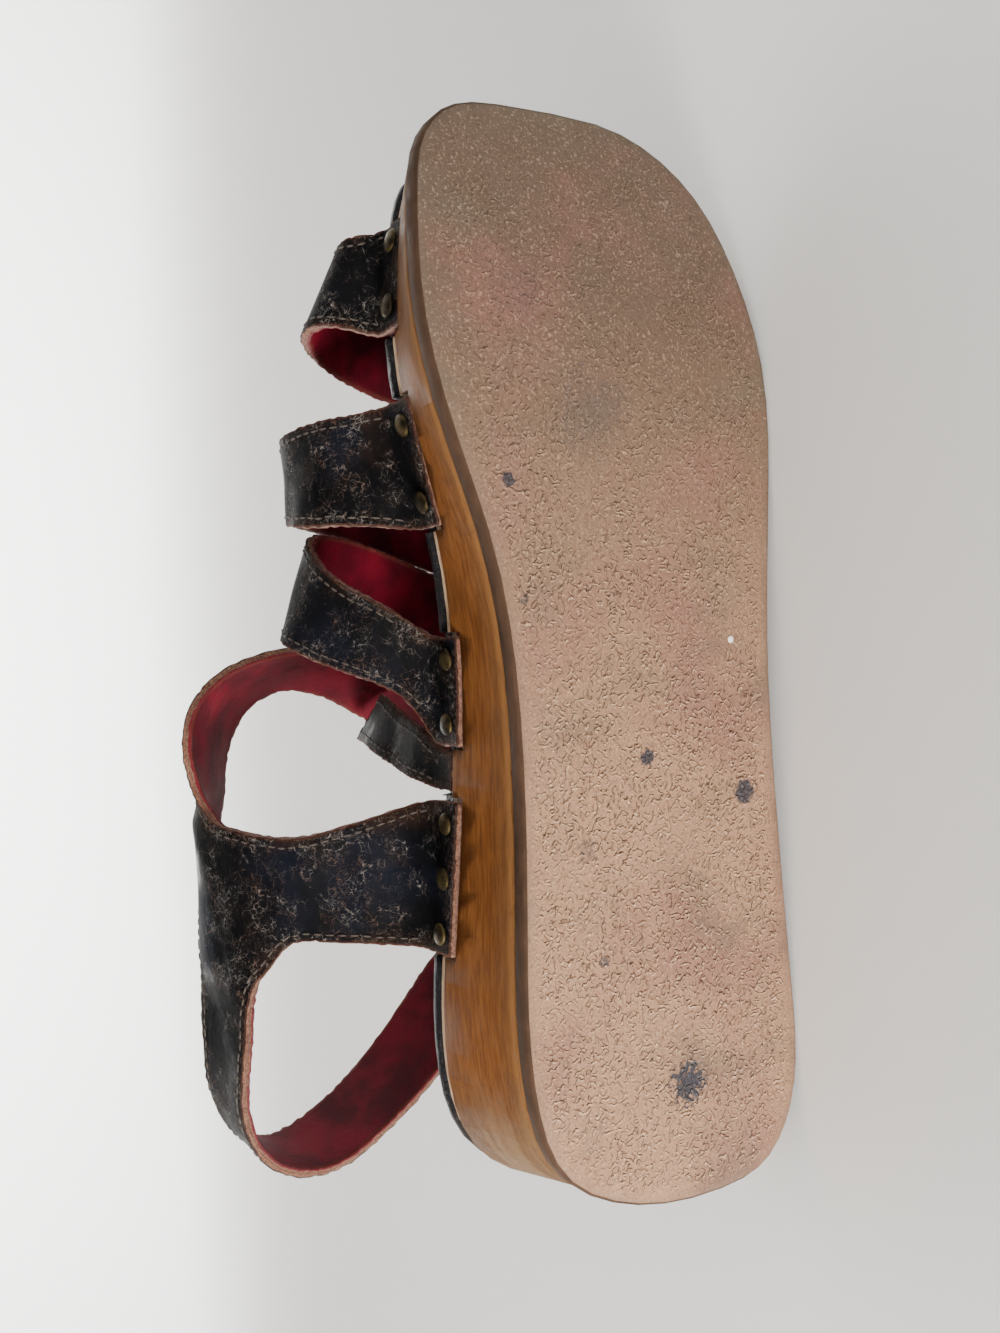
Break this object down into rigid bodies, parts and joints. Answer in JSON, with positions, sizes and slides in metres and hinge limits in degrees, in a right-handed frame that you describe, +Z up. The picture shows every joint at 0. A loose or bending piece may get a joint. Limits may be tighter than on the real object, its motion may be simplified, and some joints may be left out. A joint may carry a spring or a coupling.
{
  "type": "platform sandal",
  "caption": "Left platform sandal lying on its side: rubber outsole, wooden platform, leather footbed, tacked cross straps and an ankle strap.",
  "frame": {"origin": "centre of the bounding box, on the floor that the sandal lies on", "axes": "+X from heel to toe, +Y from the sole's walking face toward the ankle, +Z up from the floor, toward the medial side"},
  "size_m": [0.2746, 0.1176, 0.1423],
  "materials": {
    "outsole_rubber": "matt, fine worm grain, worn and stained",
    "wood": "varnished, long grain",
    "raw_leather": "raw cut edge",
    "footbed_leather": "smooth, half gloss",
    "strap_leather": "crackled, half gloss, dark red lining",
    "tacks": "aged"
  },
  "bodies": {
    "root": {"ball_strap": "strap_leather", "footbed": "footbed_leather", "instep_strap": "strap_leather", "instep_tab": "strap_leather", "lateral_quarter": "strap_leather", "leather_board": "raw_leather", "medial_quarter_and_ankle_strap": "strap_leather", "outsole": "outsole_rubber", "tack_ball_lateral_1": "tacks", "tack_ball_lateral_2": "tacks", "tack_ball_medial_1": "tacks", "tack_ball_medial_2": "tacks", "tack_instep_lateral_1": "tacks", "tack_instep_lateral_2": "tacks", "tack_instep_medial_1": "tacks", "tack_instep_medial_2": "tacks", "tack_quarter_lateral_1": "tacks", "tack_quarter_lateral_2": "tacks", "tack_quarter_medial_1": "tacks", "tack_quarter_medial_2": "tacks", "tack_quarter_medial_3": "tacks", "tack_toe_lateral_1": "tacks", "tack_toe_lateral_2": "tacks", "tack_toe_medial_1": "tacks", "tack_toe_medial_2": "tacks", "toe_strap": "strap_leather", "wood_platform": "wood"}
  },
  "joints": []
}
